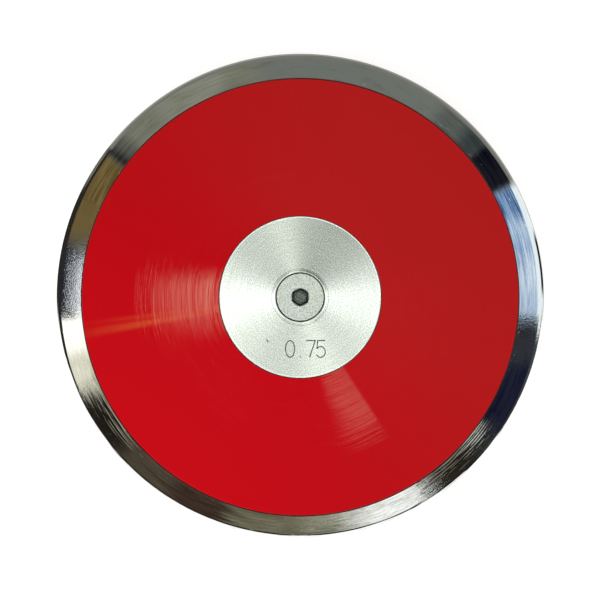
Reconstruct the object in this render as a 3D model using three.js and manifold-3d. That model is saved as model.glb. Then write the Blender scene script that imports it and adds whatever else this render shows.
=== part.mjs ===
// A 0.75 kg throwing discus. A turned steel rim carries two moulded plastic side plates, and an aluminium
// hub plate is let flush into the middle of each. A socket screw on each side draws its hub plate towards a
// tapped hexagonal weight in the centre, and so clamps both side plates onto the ledge inside the rim.
// Lengths are in millimetres. Z is the axis of the disc, and z = 0 is the face that it rests on.

import * as THREE from "three";
import { mergeVertices } from "three/addons/utils/BufferGeometryUtils.js";
import Module from "manifold-3d";

const wasm = await Module();
wasm.setup();

// Overall sizes
const outerDiameter = 167;
const centreThickness = 34;

// Rim
const edgeRoundRadius = 5;
const bevelSlope = THREE.MathUtils.degToRad(30);
const rimFaceWidth = 8.6;
const rimLedgeWidth = 3.7;
const rimCornerBreak = 0.25;

// Side plates
const plateWall = 3.2;
const plateEdgeThickness = 3.2;
const plateEdgeGap = 0.25;
const hubWallThickness = 3.2;
const hubWebThickness = 3.6;
const weightPocketDepth = 1.2;
const ribThickness = 2;
const ribCount = 8;
const ribLocatingGap = 0.3;
const ribFootGap = 0.5;

// Hub plates
const hubPlateDiameter = 55;
const hubPlateGap = 0.2;
const hubPlateEdgeBreak = 0.3;
const landUnderHead = 0.85;

// Screws, size M8 with a countersunk head
const threadDiameter = 8;
const threadPitch = 1.25;
const screwHeadDiameter = 16;
const headLand = 0.25;
const headRecess = 0.1;
const headConeClearance = 0.1;
const screwHoleClearance = 0.5;
const screwTipGap = 2;
const socketAcrossFlats = 5;
const socketDepth = 2.9;
const socketMouthChamfer = 0.25;
const socketTurn = THREE.MathUtils.degToRad(-4);

// Small parts between them
const trimShimThickness = 0.6;
const trimShimMargin = 1.5;
const seatTapeThickness = 0.4;
const seatTapeMargin = 0.6;
const weightAcrossFlats = 24;
const weightEdgeChamfer = 0.8;
const weightChamferSlope = THREE.MathUtils.degToRad(30);
const weightPocketGap = 0.25;
const weightDrawGap = 0.3;

// The form of a metric thread, in shares of its pitch: the depth of the screw's and of the tapped hole's,
// and the width of the crest
const threadDepthShare = 0.6134;
const threadBoreShare = 0.5413;
const threadCrestShare = 1 / 8;
const threadFlank = THREE.MathUtils.degToRad(30);
const threadClearance = 0.1;

// How far one solid reaches into another that it is joined to, or past one that it cuts
const overrun = 0.4;

// Steps round each kind of curve
const rimSteps = 72;
const hubSteps = 48;
const edgeRoundSteps = 6;
const threadSteps = 12;

// Places that the sizes above lead to. Heights in this list are measured from the middle plane.
const outerRadius = outerDiameter / 2;
const halfThickness = centreThickness / 2;

const bevelOuterRadius = outerRadius - edgeRoundRadius * (1 - Math.sin(bevelSlope));
const bevelOuterZ = edgeRoundRadius * Math.cos(bevelSlope);
const rebateRadius = outerRadius - rimFaceWidth;
const rimCrestZ = bevelOuterZ + (bevelOuterRadius - rebateRadius) * Math.tan(bevelSlope);
const plateSeatZ = rimCrestZ - plateEdgeThickness;
const ledgeZ = plateSeatZ - seatTapeThickness;
const ledgeInnerRadius = rebateRadius - rimLedgeWidth;

const threadRadius = threadDiameter / 2;
const threadRootRadius = threadRadius - threadDepthShare * threadPitch;
const screwHeadRadius = screwHeadDiameter / 2;
const screwHoleRadius = threadRadius + screwHoleClearance;
const countersinkRadius = screwHeadRadius + headConeClearance + headLand + headRecess;
const hubPlateThickness = countersinkRadius - screwHoleRadius + landUnderHead;
const hubPlateRadius = hubPlateDiameter / 2;
const hubPlateZ = halfThickness - hubPlateThickness;
const webTopZ = hubPlateZ - trimShimThickness;
const webUnderZ = webTopZ - hubWebThickness;
const weightPocketZ = webUnderZ + weightPocketDepth;
const weightEndZ = weightPocketZ - weightDrawGap;
const screwTipZ = screwTipGap / 2;
const threadTopZ = hubPlateZ - threadPitch;

const hubRecessRadius = hubPlateRadius + hubPlateGap;
const hubWallRadius = hubRecessRadius + hubWallThickness;
const plateRadius = rebateRadius - plateEdgeGap;
const plateTaper = (halfThickness - rimCrestZ) / (rebateRadius - hubRecessRadius);
const ribOuterRadius = ledgeInnerRadius - ribLocatingGap;
const weightCornerRadius = weightAcrossFlats / Math.sqrt(3);
const weightPocketRadius = (weightAcrossFlats + 2 * weightPocketGap) / Math.sqrt(3);

// Height of a side plate's outer face at a radius: a straight taper from the rim up to the hub plate
function plateTopZ(radius) {
  return rimCrestZ + (rebateRadius - radius) * plateTaper;
}

// Height of its inner face, one wall below
function plateUnderZ(radius) {
  return plateTopZ(radius) - plateWall * Math.hypot(1, plateTaper);
}

// A solid of revolution about Z, from a closed outline of [radius, height] corners taken anticlockwise
function turned(outline, steps) {
  const points = [...outline, outline[0]].map(([radius, z]) => new THREE.Vector2(radius, z));
  return new THREE.LatheGeometry(points, steps).rotateX(Math.PI / 2);
}

// A flat ring from its two radii and its two heights
function ring(innerRadius, outerRadiusOfRing, lowZ, highZ, steps) {
  const outline = [
    [innerRadius, lowZ],
    [outerRadiusOfRing, lowZ],
    [outerRadiusOfRing, highZ],
    [innerRadius, highZ],
  ];
  return turned(outline, steps);
}

// A cone or cylinder about Z that closes on its axis
function plug(lowRadius, highRadius, lowZ, highZ, steps) {
  const shape = new THREE.CylinderGeometry(highRadius, lowRadius, highZ - lowZ, steps);
  return shape.rotateX(Math.PI / 2).translate(0, 0, (lowZ + highZ) / 2);
}

// A hexagonal prism about Z, with a corner on the X axis before it is turned by an angle
function hexPrism(cornerRadius, lowZ, highZ, turn) {
  const shape = new THREE.Shape();
  for (let corner = 0; corner < 6; corner += 1) {
    const angle = turn + (corner * Math.PI) / 3;
    const x = cornerRadius * Math.cos(angle);
    const y = cornerRadius * Math.sin(angle);
    if (corner === 0) shape.moveTo(x, y);
    else shape.lineTo(x, y);
  }
  shape.closePath();
  const settings = { depth: highZ - lowZ, bevelEnabled: false };
  return new THREE.ExtrudeGeometry(shape, settings).translate(0, 0, lowZ);
}

function toSolid(geometry) {
  const bare = geometry.clone();
  bare.deleteAttribute("normal");
  bare.deleteAttribute("uv");
  const merged = mergeVertices(bare);
  const mesh = new wasm.Mesh({
    numProp: 3,
    vertProperties: new Float32Array(merged.attributes.position.array),
    triVerts: new Uint32Array(merged.index.array),
  });
  return new wasm.Manifold(mesh);
}

function toGeometry(solid) {
  const mesh = solid.getMesh();
  const geometry = new THREE.BufferGeometry();
  geometry.setAttribute("position", new THREE.BufferAttribute(mesh.vertProperties, 3));
  geometry.setIndex(new THREE.BufferAttribute(mesh.triVerts, 1));
  return geometry;
}

// The solid inside a right-hand thread, grown outwards by a clearance. One ridge winds up round the axis,
// and a root flat joins each of its turns to the next. It starts below the screw's tip and ends above the
// run-out, so that what is cut from it, or cut by it, meets no end of it.
function threadedRod(clearance) {
  const rootRadius = threadRootRadius + clearance;
  const crestRadius = threadRadius + clearance;
  const crestHalf = (threadPitch * threadCrestShare) / 2;
  const footHalf = crestHalf + (crestRadius - rootRadius) * Math.tan(threadFlank);
  const ridge = [
    [rootRadius, -footHalf],
    [crestRadius, -crestHalf],
    [crestRadius, crestHalf],
    [rootRadius, footHalf],
  ];
  const lowZ = screwTipZ - threadPitch;
  const turns = Math.ceil((threadTopZ - screwTipZ) / threadPitch) + 2;
  const steps = turns * threadSteps;
  const positions = [];
  for (let step = 0; step <= steps; step += 1) {
    const angle = (step * 2 * Math.PI) / threadSteps;
    const z = lowZ + (step * threadPitch) / threadSteps;
    for (const [radius, rise] of ridge) {
      positions.push(radius * Math.cos(angle), radius * Math.sin(angle), z + rise);
    }
  }
  const foot = (step) => step * ridge.length;
  const shoulder = (step) => foot(step) + ridge.length - 1;

  // The corners of the section in one half plane, from the foot of one turn up to the foot of the next
  const upright = (step) => [foot(step), foot(step) + 1, foot(step) + 2, shoulder(step)];
  const faces = [];
  const addQuad = (a, b, c, d) => faces.push(a, b, c, a, c, d);
  for (let step = 0; step < steps; step += 1) {
    for (let corner = foot(step); corner < shoulder(step); corner += 1) {
      addQuad(corner, corner + ridge.length, corner + ridge.length + 1, corner + 1);
    }
    if (step < steps - threadSteps) {
      const nextTurn = step + threadSteps;
      addQuad(shoulder(step), shoulder(step + 1), foot(nextTurn + 1), foot(nextTurn));
    }
  }

  // Each end closes on a point of the axis
  const lowPoint = positions.length / 3;
  const highPoint = lowPoint + 1;
  const halfTurn = threadPitch / 2 - footHalf;
  const highZ = lowZ + turns * threadPitch;
  positions.push(0, 0, lowZ + halfTurn);
  positions.push(0, 0, highZ - halfTurn);
  const lowRise = [...upright(0), foot(threadSteps)];
  const highRise = [shoulder(steps - threadSteps), ...upright(steps)];
  for (let corner = 0; corner < ridge.length; corner += 1) {
    faces.push(lowPoint, lowRise[corner], lowRise[corner + 1]);
    faces.push(highPoint, highRise[corner + 1], highRise[corner]);
  }
  for (let step = 0; step < threadSteps; step += 1) {
    const topStep = steps - threadSteps + step;
    faces.push(lowPoint, foot(step + 1), foot(step));
    faces.push(highPoint, shoulder(topStep), shoulder(topStep + 1));
  }
  const geometry = new THREE.BufferGeometry();
  geometry.setAttribute("position", new THREE.Float32BufferAttribute(positions, 3));
  geometry.setIndex(faces);
  return geometry;
}

// The rim's section is alike above and below: a round edge, a straight bevel on each face, and inside it
// the ledge that both side plates rest on
function rim() {
  const lowerHalfOutline = [
    [ledgeInnerRadius + rimCornerBreak, -ledgeZ],
    [rebateRadius, -ledgeZ],
    [rebateRadius, -rimCrestZ + rimCornerBreak],
    [rebateRadius + rimCornerBreak, -rimCrestZ + rimCornerBreak * Math.tan(bevelSlope)],
  ];
  const edgeRound = [];
  const sweep = Math.PI / 2 - bevelSlope;
  for (let step = 0; step <= edgeRoundSteps; step += 1) {
    const angle = -sweep + (2 * sweep * step) / edgeRoundSteps;
    const radius = outerRadius - edgeRoundRadius * (1 - Math.cos(angle));
    edgeRound.push([radius, edgeRoundRadius * Math.sin(angle)]);
  }
  const upperHalfOutline = lowerHalfOutline.map(([radius, z]) => [radius, -z]).reverse();
  const tongueFace = [
    [ledgeInnerRadius, ledgeZ - rimCornerBreak],
    [ledgeInnerRadius, -ledgeZ + rimCornerBreak],
  ];
  return turned([...lowerHalfOutline, ...edgeRound, ...upperHalfOutline, ...tongueFace], rimSteps);
}

// One stiffening rib, standing on the plate's inner face and reaching almost to the middle plane
function rib() {
  const innerRadius = weightPocketRadius + weightPocketGap;
  const footZ = ribFootGap / 2;
  const shape = new THREE.Shape();
  shape.moveTo(innerRadius, footZ);
  shape.lineTo(ribOuterRadius, footZ);
  shape.lineTo(ribOuterRadius, plateUnderZ(ribOuterRadius) + overrun);
  shape.lineTo(hubWallRadius - overrun, plateUnderZ(hubWallRadius) + overrun);
  shape.lineTo(hubWallRadius - overrun, webUnderZ + overrun);
  shape.lineTo(innerRadius, webUnderZ + overrun);
  shape.closePath();
  const settings = { depth: ribThickness, bevelEnabled: false };
  const geometry = new THREE.ExtrudeGeometry(shape, settings);
  return geometry.translate(0, 0, -ribThickness / 2).rotateX(Math.PI / 2);
}

function sidePlate() {
  const shell = turned(
    [
      [screwHoleRadius, webUnderZ],
      [hubWallRadius, webUnderZ],
      [hubWallRadius, plateUnderZ(hubWallRadius)],
      [ribOuterRadius, plateUnderZ(ribOuterRadius)],
      [ribOuterRadius, plateSeatZ],
      [plateRadius, plateSeatZ],
      [plateRadius, plateTopZ(plateRadius)],
      [hubRecessRadius, halfThickness],
      [hubRecessRadius, webTopZ],
      [screwHoleRadius, webTopZ],
    ],
    rimSteps,
  );
  let solid = toSolid(shell);
  const oneRib = rib();
  for (let count = 0; count < ribCount; count += 1) {
    const angle = ((count + 1 / 2) * 2 * Math.PI) / ribCount;
    solid = solid.add(toSolid(oneRib.clone().rotateZ(angle)));
  }
  const pocket = hexPrism(weightPocketRadius, webUnderZ - overrun, weightPocketZ, 0);
  return toGeometry(solid.subtract(toSolid(pocket)));
}

function hubPlate() {
  return turned(
    [
      [screwHoleRadius, hubPlateZ],
      [hubPlateRadius - hubPlateEdgeBreak, hubPlateZ],
      [hubPlateRadius, hubPlateZ + hubPlateEdgeBreak],
      [hubPlateRadius, halfThickness - hubPlateEdgeBreak],
      [hubPlateRadius - hubPlateEdgeBreak, halfThickness],
      [countersinkRadius, halfThickness],
      [screwHoleRadius, halfThickness - countersinkRadius + screwHoleRadius],
    ],
    hubSteps,
  );
}

// A countersunk screw with a hexagon socket. Its thread starts with a chamfer at the tip and runs out just
// below the hub plate, where the full shank takes over.
function hubScrew() {
  const topZ = halfThickness - headRecess;
  const coneTopZ = topZ - headLand;
  const neckZ = coneTopZ - screwHeadRadius + threadRadius;
  const head = turned(
    [
      [0, threadTopZ],
      [threadRadius, threadTopZ],
      [threadRadius, neckZ],
      [screwHeadRadius, coneTopZ],
      [screwHeadRadius, topZ],
      [0, topZ],
    ],
    hubSteps,
  );
  const wideRadius = threadRadius + overrun;
  const tipRadius = threadRootRadius - overrun;
  const threadTrim = turned(
    [
      [0, screwTipZ],
      [tipRadius, screwTipZ],
      [wideRadius, screwTipZ + wideRadius - tipRadius],
      [wideRadius, threadTopZ - 2 * overrun],
      [0, threadTopZ - 2 * overrun + wideRadius],
    ],
    threadSteps,
  );
  const thread = toSolid(threadedRod(0)).intersect(toSolid(threadTrim));
  const cornerRadius = socketAcrossFlats / Math.sqrt(3);
  const socket = hexPrism(cornerRadius, topZ - socketDepth, topZ + overrun, Math.PI / 6 + socketTurn);
  const mouth = plug(
    cornerRadius - overrun,
    cornerRadius + socketMouthChamfer + overrun,
    topZ - socketMouthChamfer - overrun,
    topZ + overrun,
    hubSteps,
  );
  return toGeometry(toSolid(head).add(thread).subtract(toSolid(socket)).subtract(toSolid(mouth)));
}

// The tapped hexagonal bar that both screws pull on. Its ends sit in pockets under the hub webs, which
// keep it from turning.
function centreWeight() {
  const bar = hexPrism(weightCornerRadius, -weightEndZ, weightEndZ, 0);
  const endRadius = weightCornerRadius - weightEdgeChamfer;
  const wideRadius = weightCornerRadius + weightEdgeChamfer;
  const wideZ = weightEndZ - 2 * weightEdgeChamfer * Math.tan(weightChamferSlope);
  const turnedEnds = turned(
    [
      [0, -weightEndZ],
      [endRadius, -weightEndZ],
      [wideRadius, -wideZ],
      [wideRadius, wideZ],
      [endRadius, weightEndZ],
      [0, weightEndZ],
    ],
    hubSteps,
  );
  const boreRadius = threadRadius - threadBoreShare * threadPitch + threadClearance;
  const bore = plug(boreRadius, boreRadius, -weightEndZ - overrun, weightEndZ + overrun, threadSteps);
  const groove = threadedRod(threadClearance);
  let solid = toSolid(bar).intersect(toSolid(turnedEnds)).subtract(toSolid(bore));
  solid = solid.subtract(toSolid(groove)).subtract(toSolid(groove.clone().rotateX(Math.PI)));
  return toGeometry(solid);
}

// A thin steel ring under the hub plate, chosen when the discus is weighed
function trimShim() {
  return ring(screwHoleRadius, hubPlateRadius - trimShimMargin, webTopZ, hubPlateZ, hubSteps);
}

// The tape that beds a side plate on the rim's ledge
function seatTape() {
  const innerRadius = ledgeInnerRadius + seatTapeMargin;
  return ring(innerRadius, plateRadius - seatTapeMargin, ledgeZ, plateSeatZ, rimSteps);
}

const rimSteel = new THREE.MeshStandardMaterial({ color: 0xb9bcb8, roughness: 0.2, metalness: 1 });
const redPlastic = new THREE.MeshStandardMaterial({ color: 0xc30f18, roughness: 0.25, metalness: 0 });
const hubAluminium = new THREE.MeshStandardMaterial({ color: 0xd6ddd2, roughness: 0.35, metalness: 1 });
const screwSteel = new THREE.MeshStandardMaterial({ color: 0xcdd6cd, roughness: 0.4, metalness: 1 });
const weightSteel = new THREE.MeshStandardMaterial({ color: 0x8c8f92, roughness: 0.45, metalness: 1 });
const tapeRubber = new THREE.MeshStandardMaterial({ color: 0x2a2a2c, roughness: 0.85, metalness: 0 });

function piece(name, geometry, material) {
  const mesh = new THREE.Mesh(geometry, material);
  mesh.name = name;
  return mesh;
}

// Both faces of a discus are alike, so each half holds the same pieces and the lower one is turned over
const pairedPieces = [
  ["side_plate", sidePlate(), redPlastic],
  ["hub_plate", hubPlate(), hubAluminium],
  ["hub_screw", hubScrew(), screwSteel],
  ["trim_shim", trimShim(), weightSteel],
  ["seat_tape", seatTape(), tapeRubber],
];

function half(side, turn) {
  const group = new THREE.Group();
  group.rotation.x = turn;
  for (const [name, geometry, material] of pairedPieces) {
    group.add(piece(`${side}_${name}`, geometry, material));
  }
  return group;
}

const discus = new THREE.Group();
const middlePlane = new THREE.Group();
middlePlane.position.z = halfThickness;
middlePlane.add(piece("rim", rim(), rimSteel));
middlePlane.add(piece("centre_weight", centreWeight(), weightSteel));
middlePlane.add(half("upper", 0));
middlePlane.add(half("lower", Math.PI));
discus.add(middlePlane);

export default discus;
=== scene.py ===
"""The looks of a 0.75 kg discus: turned steel rim, glossy red side plates, faced aluminium hub plates.

Blender works in metres. +X is to the right in the photograph, +Y is up in it, and +Z points at the camera.
"""

import math
from collections import namedtuple

import bmesh
import bpy
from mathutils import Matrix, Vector


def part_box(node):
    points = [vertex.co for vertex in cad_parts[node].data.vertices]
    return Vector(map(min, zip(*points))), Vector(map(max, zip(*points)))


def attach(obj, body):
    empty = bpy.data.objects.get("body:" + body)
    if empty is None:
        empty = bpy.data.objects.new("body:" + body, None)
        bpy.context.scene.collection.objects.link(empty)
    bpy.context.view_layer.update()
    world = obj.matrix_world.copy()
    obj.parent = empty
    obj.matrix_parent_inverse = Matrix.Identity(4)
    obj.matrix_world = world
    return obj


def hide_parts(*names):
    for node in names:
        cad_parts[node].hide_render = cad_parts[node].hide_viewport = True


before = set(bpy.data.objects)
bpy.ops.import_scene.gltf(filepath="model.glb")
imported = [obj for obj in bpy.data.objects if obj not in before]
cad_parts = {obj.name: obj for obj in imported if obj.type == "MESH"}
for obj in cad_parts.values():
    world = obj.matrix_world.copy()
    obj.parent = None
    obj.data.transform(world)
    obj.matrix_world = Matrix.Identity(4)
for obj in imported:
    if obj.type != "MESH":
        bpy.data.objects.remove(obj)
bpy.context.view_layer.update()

MM = 0.001
DEGREE = math.pi / 180

# The photograph's frame, in pixels, and where the middle of the disc lies in it
IMAGE_SIZE_PX = 600
DISC_CENTRE_PX = (300.2, 297.2)
DISC_DIAMETER_PX = 487
CAMERA_DISTANCE = 2.0

# Sizes that the frame gives
RIM_LOW, RIM_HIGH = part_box("rim")
HUB_LOW, HUB_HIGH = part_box("upper_hub_plate")
PLATE_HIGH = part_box("upper_side_plate")[1]
OUTER_RADIUS = RIM_HIGH.x
MIDDLE_Z = (RIM_HIGH.z + RIM_LOW.z) / 2
HALF_THICKNESS = HUB_HIGH.z - MIDDLE_Z
HUB_RADIUS = HUB_HIGH.x
HUB_THICKNESS = HUB_HIGH.z - HUB_LOW.z
PLATE_EDGE_PLAY = 0.12 * MM
PLATE_RADIUS = PLATE_HIGH.y - PLATE_EDGE_PLAY

# Sizes of the sections, as in the solid model
EDGE_ROUND_RADIUS = 5 * MM
BEVEL_SLOPE = 30 * DEGREE
RIM_FACE_WIDTH = 8.6 * MM
RIM_LEDGE_WIDTH = 3.7 * MM
PLATE_WALL = 3.2 * MM
PLATE_EDGE_THICKNESS = 3.2 * MM
SEAT_TAPE_THICKNESS = 0.4 * MM
HUB_PLATE_GAP = 0.2 * MM
HUB_WALL_THICKNESS = 3.2 * MM
HUB_WEB_THICKNESS = 3.6 * MM
TRIM_SHIM_THICKNESS = 0.6 * MM
SCREW_HOLE_RADIUS = 4.5 * MM
COUNTERSINK_RADIUS = 8.45 * MM
RIB_CLEARANCE = 0.3 * MM

# Fine detail that only the looks have
BEVEL_CROWN = 2.5 * DEGREE
RIM_CORNER_BREAK = 0.25 * MM
LIP_BREAK = 0.05 * MM
PLATE_CORNER_BREAK = 0.1 * MM
HUB_EDGE_PLAY = 0.1 * MM
HUB_CHAMFER_WIDTH = 0.4 * MM
HUB_CHAMFER_DROP = 0.13 * MM
MOUTH_BREAK = 0.34 * MM
GROOVE_HALF_WIDTH = 0.08 * MM
GROOVE_DEPTH = 0.07 * MM
GROOVE_OFFSETS = (1.2 * MM, 0.75 * MM)

# How finely round surfaces are divided, and the angle from which an edge is sharp
TURNS = 384
ROUND_STEPS = 16
CROWN_STEPS = 8
SHARP_ANGLE = 12 * DEGREE

# Radii, and heights above the middle plane, that follow from those sizes
REBATE_RADIUS = OUTER_RADIUS - RIM_FACE_WIDTH
BEVEL_OUTER_RADIUS = OUTER_RADIUS - EDGE_ROUND_RADIUS * (1 - math.sin(BEVEL_SLOPE))
BEVEL_RISE = (BEVEL_OUTER_RADIUS - REBATE_RADIUS) * math.tan(BEVEL_SLOPE)
RIM_CREST = EDGE_ROUND_RADIUS * math.cos(BEVEL_SLOPE) + BEVEL_RISE
PLATE_SEAT = RIM_CREST - PLATE_EDGE_THICKNESS
LEDGE = PLATE_SEAT - SEAT_TAPE_THICKNESS
LEDGE_INNER_RADIUS = REBATE_RADIUS - RIM_LEDGE_WIDTH
HUB_RECESS_RADIUS = HUB_RADIUS + HUB_PLATE_GAP
HUB_WALL_RADIUS = HUB_RECESS_RADIUS + HUB_WALL_THICKNESS
WEB_TOP = HALF_THICKNESS - HUB_THICKNESS - TRIM_SHIM_THICKNESS
WEB_UNDER = WEB_TOP - HUB_WEB_THICKNESS
PLATE_TAPER = (HALF_THICKNESS - RIM_CREST) / (REBATE_RADIUS - HUB_RECESS_RADIUS)


def aim(thing, target):
    """Turns a light or camera so that it looks at a point."""
    thing.rotation_euler = (Vector(target) - thing.location).to_track_quat("-Z", "Y").to_euler()


def make_camera():
    """Looks straight down on the disc, as the photograph does, from well away."""
    sensor_width_mm = 36
    metres_per_px = 2 * OUTER_RADIUS / DISC_DIAMETER_PX
    data = bpy.data.cameras.new("camera")
    data.sensor_width = sensor_width_mm
    data.lens = sensor_width_mm * CAMERA_DISTANCE / (IMAGE_SIZE_PX * metres_per_px)
    camera = bpy.data.objects.new("camera", data)
    bpy.context.scene.collection.objects.link(camera)
    middle_px = IMAGE_SIZE_PX / 2
    x = (middle_px - DISC_CENTRE_PX[0]) * metres_per_px
    y = (DISC_CENTRE_PX[1] - middle_px) * metres_per_px
    camera.location = (x, y, MIDDLE_Z + CAMERA_DISTANCE)
    bpy.context.scene.camera = camera


make_camera()


# Shapes


def arc(centre, radius, start, end, steps):
    """Points of a section along an arc about centre, from the start angle to the end angle."""
    points = []
    for step in range(steps + 1):
        angle = start + (end - start) * step / steps
        points.append((centre[0] + radius * math.cos(angle), centre[1] + radius * math.sin(angle)))
    return points


def new_object(name, mesh):
    piece = bpy.data.objects.new(name, mesh)
    bpy.context.scene.collection.objects.link(piece)
    return piece


def turned(name, section, side=1):
    """A solid of revolution about Z from a closed section of (radius, height above the middle plane) corners.

    side is 1 for the upper half and -1 for the same section turned over.
    """
    mesh = bpy.data.meshes.new(name)
    bm = bmesh.new()
    rows = []
    for turn in range(TURNS):
        angle = 2 * math.pi * turn / TURNS
        row = []
        for radius, height in section:
            place = (radius * math.cos(angle), radius * math.sin(angle), MIDDLE_Z + side * height)
            row.append(bm.verts.new(place))
        rows.append(row)
    count = len(section)
    for turn in range(TURNS):
        here = rows[turn]
        there = rows[(turn + 1) % TURNS]
        for corner in range(count):
            beside = (corner + 1) % count
            bm.faces.new((here[corner], there[corner], there[beside], here[beside]))
    bmesh.ops.recalc_face_normals(bm, faces=bm.faces)
    bm.to_mesh(mesh)
    bm.free()
    mesh.polygons.foreach_set("use_smooth", [True] * len(mesh.polygons))
    mesh.set_sharp_from_angle(angle=SHARP_ANGLE)
    return new_object(name, mesh)


def crown(start, end):
    """Points between two corners of the rim's bevel, which turning left very slightly crowned."""
    chord = math.hypot(end[0] - start[0], end[1] - start[1])
    points = []
    for step in range(1, CROWN_STEPS):
        share = step / CROWN_STEPS
        bulge = chord * math.tan(BEVEL_CROWN) * share * (1 - share)
        radius = start[0] + (end[0] - start[0]) * share + bulge * math.sin(BEVEL_SLOPE)
        height = start[1] + (end[1] - start[1]) * share + bulge * math.cos(BEVEL_SLOPE)
        points.append((radius, height))
    return points


def rim_section():
    """Half of the rim's section, from the ledge up and out to the edge, and then its mirror image below."""
    lip = (REBATE_RADIUS + LIP_BREAK, RIM_CREST - LIP_BREAK * math.tan(BEVEL_SLOPE))
    upper = [
        (LEDGE_INNER_RADIUS, LEDGE - RIM_CORNER_BREAK),
        (LEDGE_INNER_RADIUS + RIM_CORNER_BREAK, LEDGE),
        (REBATE_RADIUS, LEDGE),
        (REBATE_RADIUS, RIM_CREST - 2 * LIP_BREAK),
        lip,
    ]
    centre = (OUTER_RADIUS - EDGE_ROUND_RADIUS, 0)
    edge = arc(centre, EDGE_ROUND_RADIUS, math.pi / 2 - BEVEL_SLOPE - BEVEL_CROWN, 0, ROUND_STEPS)
    upper += crown(lip, edge[0]) + edge
    lower = [(radius, -height) for radius, height in reversed(upper) if height > 0]
    return upper + lower


def plate_top(radius):
    """Height of a side plate's outer face: a straight taper from the rim up to the hub plate."""
    return RIM_CREST + (REBATE_RADIUS - radius) * PLATE_TAPER


def plate_under(radius):
    """Height of its inner face, one wall below."""
    return plate_top(radius) - PLATE_WALL * math.hypot(1, PLATE_TAPER)


def side_plate_section():
    """A side plate: a web round the screw, the hub plate's recess, the tapered wall and the rib that it sits on."""
    rib_radius = LEDGE_INNER_RADIUS - RIB_CLEARANCE
    corner = PLATE_CORNER_BREAK
    return [
        (SCREW_HOLE_RADIUS, WEB_UNDER),
        (HUB_WALL_RADIUS, WEB_UNDER),
        (HUB_WALL_RADIUS, plate_under(HUB_WALL_RADIUS)),
        (rib_radius, plate_under(rib_radius)),
        (rib_radius, PLATE_SEAT),
        (PLATE_RADIUS, PLATE_SEAT),
        (PLATE_RADIUS, plate_top(PLATE_RADIUS) - corner),
        (PLATE_RADIUS - corner, plate_top(PLATE_RADIUS - corner)),
        (HUB_RECESS_RADIUS + corner, plate_top(HUB_RECESS_RADIUS + corner)),
        (HUB_RECESS_RADIUS, HALF_THICKNESS - corner),
        (HUB_RECESS_RADIUS, WEB_TOP),
        (SCREW_HOLE_RADIUS, WEB_TOP),
    ]


def hub_plate_section():
    """The hub plate, with a shallow chamfer outside and two fine tool grooves round the screw."""
    under = HALF_THICKNESS - HUB_THICKNESS
    countersink_foot = HALF_THICKNESS - COUNTERSINK_RADIUS + SCREW_HOLE_RADIUS
    edge = HUB_RADIUS - HUB_EDGE_PLAY
    grooves = []
    for offset in GROOVE_OFFSETS:
        middle = COUNTERSINK_RADIUS + offset
        grooves.append((middle + GROOVE_HALF_WIDTH, HALF_THICKNESS))
        grooves.append((middle, HALF_THICKNESS - GROOVE_DEPTH))
        grooves.append((middle - GROOVE_HALF_WIDTH, HALF_THICKNESS))
    return [
        (SCREW_HOLE_RADIUS, under),
        (edge, under),
        (edge, HALF_THICKNESS - HUB_CHAMFER_DROP),
        (edge - HUB_CHAMFER_WIDTH, HALF_THICKNESS),
        *grooves,
        (COUNTERSINK_RADIUS + MOUTH_BREAK, HALF_THICKNESS),
        (COUNTERSINK_RADIUS, HALF_THICKNESS - MOUTH_BREAK / 2),
        (SCREW_HOLE_RADIUS, countersink_foot),
    ]


# The plain number stamped in the upper hub plate, as strokes of (across, up) in shares of the figures' height, and
# one small nick beside it

STAMP_CENTRE = (1.8 * MM, -17.6 * MM)
STAMP_HEIGHT = 5.7 * MM
STAMP_PITCH = 3.5 * MM
STAMP_WIDTH = 0.4 * MM
STAMP_DEPTH = 0.2 * MM
NICK = [(-11.5 * MM, -14.4 * MM), (-10.8 * MM, -15.3 * MM)]

# The bowl of the figure 5, which turns clockwise from its start
BOWL_CENTRE = (-0.02, -0.18)
BOWL_RADII = (0.28, 0.32)
BOWL_START = 140 * DEGREE
BOWL_SWEEP = 290 * DEGREE

# How many stroke widths long a corner of a stroke may get
MITRE_LIMIT = 2.0


def oval(half_width, steps=28):
    """The figure 0."""
    points = []
    for step in range(steps):
        angle = 2 * math.pi * step / steps
        points.append((half_width * math.cos(angle), 0.5 * math.sin(angle)))
    return points


def bowl(steps=16):
    """The lower part of the figure 5."""
    points = []
    for step in range(steps + 1):
        angle = BOWL_START - BOWL_SWEEP * step / steps
        x = BOWL_CENTRE[0] + BOWL_RADII[0] * math.cos(angle)
        y = BOWL_CENTRE[1] + BOWL_RADII[1] * math.sin(angle)
        points.append((x, y))
    return points


# The number, figure by figure, the point among them. Each is a list of strokes: the points, and whether the stroke
# closes on itself.
FIGURES = [
    [(oval(0.27), True)],
    [([(0.0, -0.5), (0.01, -0.44)], False)],
    [([(-0.27, 0.5), (0.27, 0.5), (-0.06, -0.5)], False)],
    [([(0.25, 0.5), (-0.2, 0.5), (-0.24, 0.0)], False), (bowl(), False)],
]


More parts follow.
